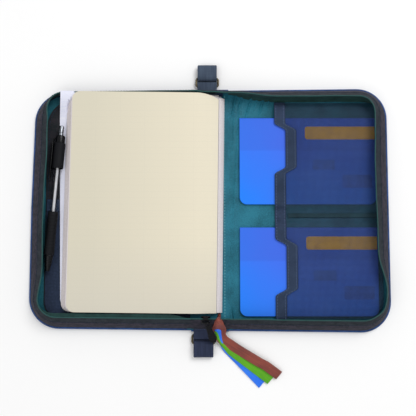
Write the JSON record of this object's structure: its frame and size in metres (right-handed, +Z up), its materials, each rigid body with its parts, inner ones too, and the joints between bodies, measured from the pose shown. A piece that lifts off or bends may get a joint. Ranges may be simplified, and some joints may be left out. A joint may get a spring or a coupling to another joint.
{
  "type": "zip-round cash deposit case",
  "caption": "Zip-round cloth document case lying open, with webbing handle, notebook and pen on the left and passbook pockets on the right.",
  "frame": {"origin": "on the surface the case lies on, under the middle of the spine, at the lower face of the handle's webbing", "axes": "+X from the notebook's half to the pockets' half, +Y along the spine away from the ribbons, +Z up"},
  "size_m": [0.349, 0.315, 0.0239],
  "materials": {
    "navy_cloth": "woven navy cloth over board",
    "piping": "round cloth piping",
    "gusset_cloth": "charcoal woven cloth",
    "wall_lining": "dark green lining cloth",
    "zip_coil": "nylon zip coil",
    "teal_lining": "teal lining cloth with a soft sheen",
    "sleeve_cloth": "dark coated sleeve cloth",
    "binding": "slate navy binding tape",
    "tinted_mesh": "fine tinted mesh",
    "webbing": "navy woven webbing",
    "ring_metal": "nickel plated wire",
    "black_metal": "black enamelled metal",
    "black_rubber": "ribbed soft rubber",
    "pen_steel": "polished steel",
    "clear_plastic": "clear moulded plastic",
    "refill": "white refill tube",
    "page_paper": "cream ruled paper",
    "white_paper": "white paper leaves",
    "cover_card": "smooth pale card",
    "passbook_card": "blue coated card",
    "ribbon_brown": "satin ribbon",
    "ribbon_green": "satin ribbon",
    "ribbon_blue": "satin ribbon"
  },
  "bodies": {
    "left_half": {"left_cover": "navy_cloth", "left_piping": "piping", "left_lining": "teal_lining", "left_gusset": "gusset_cloth", "left_zip_tape": "gusset_cloth", "left_gusset_lining": "wall_lining", "left_zip_chain": "zip_coil", "sleeve_panel": "sleeve_cloth", "lower_pocket": "navy_cloth", "lower_pocket_binding": "binding", "pen_loop": "black_rubber", "notebook_cover": "cover_card", "notebook_pages": "white_paper", "notebook_leaf": "page_paper", "notebook_endpaper": "white_paper", "ribbon_brown": "ribbon_brown", "ribbon_green": "ribbon_green", "ribbon_blue": "ribbon_blue"},
    "spine": {"spine_panel": "navy_cloth", "spine_lining": "teal_lining", "top_tab": "webbing", "bottom_tab": "webbing", "handle_top_end": "webbing", "handle_bottom_end": "webbing"},
    "right_half": {"right_cover": "navy_cloth", "right_piping": "piping", "right_lining": "teal_lining", "right_gusset": "gusset_cloth", "right_zip_tape": "gusset_cloth", "right_gusset_lining": "wall_lining", "right_zip_chain": "zip_coil", "pocket_mesh": "tinted_mesh", "pocket_edge": "binding", "pocket_divider": "binding"},
    "handle": {"handle_grip": "webbing"},
    "top_ring": {"ring_top": "ring_metal"},
    "bottom_ring": {"ring_bottom": "ring_metal"},
    "slider": {"zip_slider": "black_metal", "zip_bridge": "black_metal"},
    "pull": {"zip_pull": "black_metal"},
    "pen": {"pen_barrel": "clear_plastic", "pen_grip": "black_rubber", "pen_tip": "pen_steel", "pen_clip": "pen_steel"},
    "pen_plunger": {"pen_button": "pen_steel", "pen_refill": "refill"},
    "upper_passbook": {"upper_passbook_cover": "passbook_card", "upper_passbook_pages": "white_paper"},
    "lower_passbook": {"lower_passbook_cover": "passbook_card", "lower_passbook_pages": "white_paper"}
  },
  "joints": [
    {"name": "left_fold", "type": "hinge", "parent": "left_half", "child": "spine", "pos_m": [-0.017, 0, 0.0042], "axis": [0, -1, 0], "range_deg": [0, 90], "deforming": ["notebook_cover", "notebook_pages", "notebook_leaf", "notebook_endpaper", "ribbon_brown", "ribbon_green", "ribbon_blue"]},
    {"name": "right_fold", "type": "hinge", "parent": "spine", "child": "right_half", "pos_m": [0.017, 0, 0.0042], "axis": [0, -1, 0], "range_deg": [0, 90]},
    {"name": "handle_lift", "type": "slide", "parent": "spine", "child": "handle", "axis": [0, 0, -1], "range_m": [0, 0.02]},
    {"name": "top_ring_swing", "type": "hinge", "parent": "spine", "child": "top_ring", "pos_m": [-0.0028, 0.1213, 0.0029], "axis": [1, 0, 0], "range_deg": [0, 6]},
    {"name": "bottom_ring_swing", "type": "hinge", "parent": "spine", "child": "bottom_ring", "pos_m": [-0.0062, -0.1213, 0.0029], "axis": [-1, 0, 0], "range_deg": [0, 6]},
    {"name": "zip_travel", "type": "slide", "parent": "left_half", "child": "slider", "axis": [-1, 0, 0], "range_m": [0, 0.135]},
    {"name": "pull_swing", "type": "hinge", "parent": "slider", "child": "pull", "pos_m": [-0.0024, -0.1114, 0.021], "axis": [-1, 0, 0], "range_deg": [0, 75]},
    {"name": "pen_draw", "type": "slide", "parent": "left_half", "child": "pen", "axis": [0.0785, 0.9969, 0], "range_m": [0, 0.025]},
    {"name": "pen_click", "type": "slide", "parent": "pen", "child": "pen_plunger", "axis": [-0.0785, -0.9969, 0], "range_m": [0, 0.004], "stiffness_N_per_m": 400},
    {"name": "upper_passbook_draw", "type": "slide", "parent": "right_half", "child": "upper_passbook", "axis": [-1, 0, 0], "range_m": [0, 0.01]},
    {"name": "lower_passbook_draw", "type": "slide", "parent": "right_half", "child": "lower_passbook", "axis": [-1, 0, 0], "range_m": [0, 0.01]}
  ],
  "couplings": [
    {"joint": "zip_travel", "follows": "left_fold", "m_per_rad": 0.0859}
  ]
}
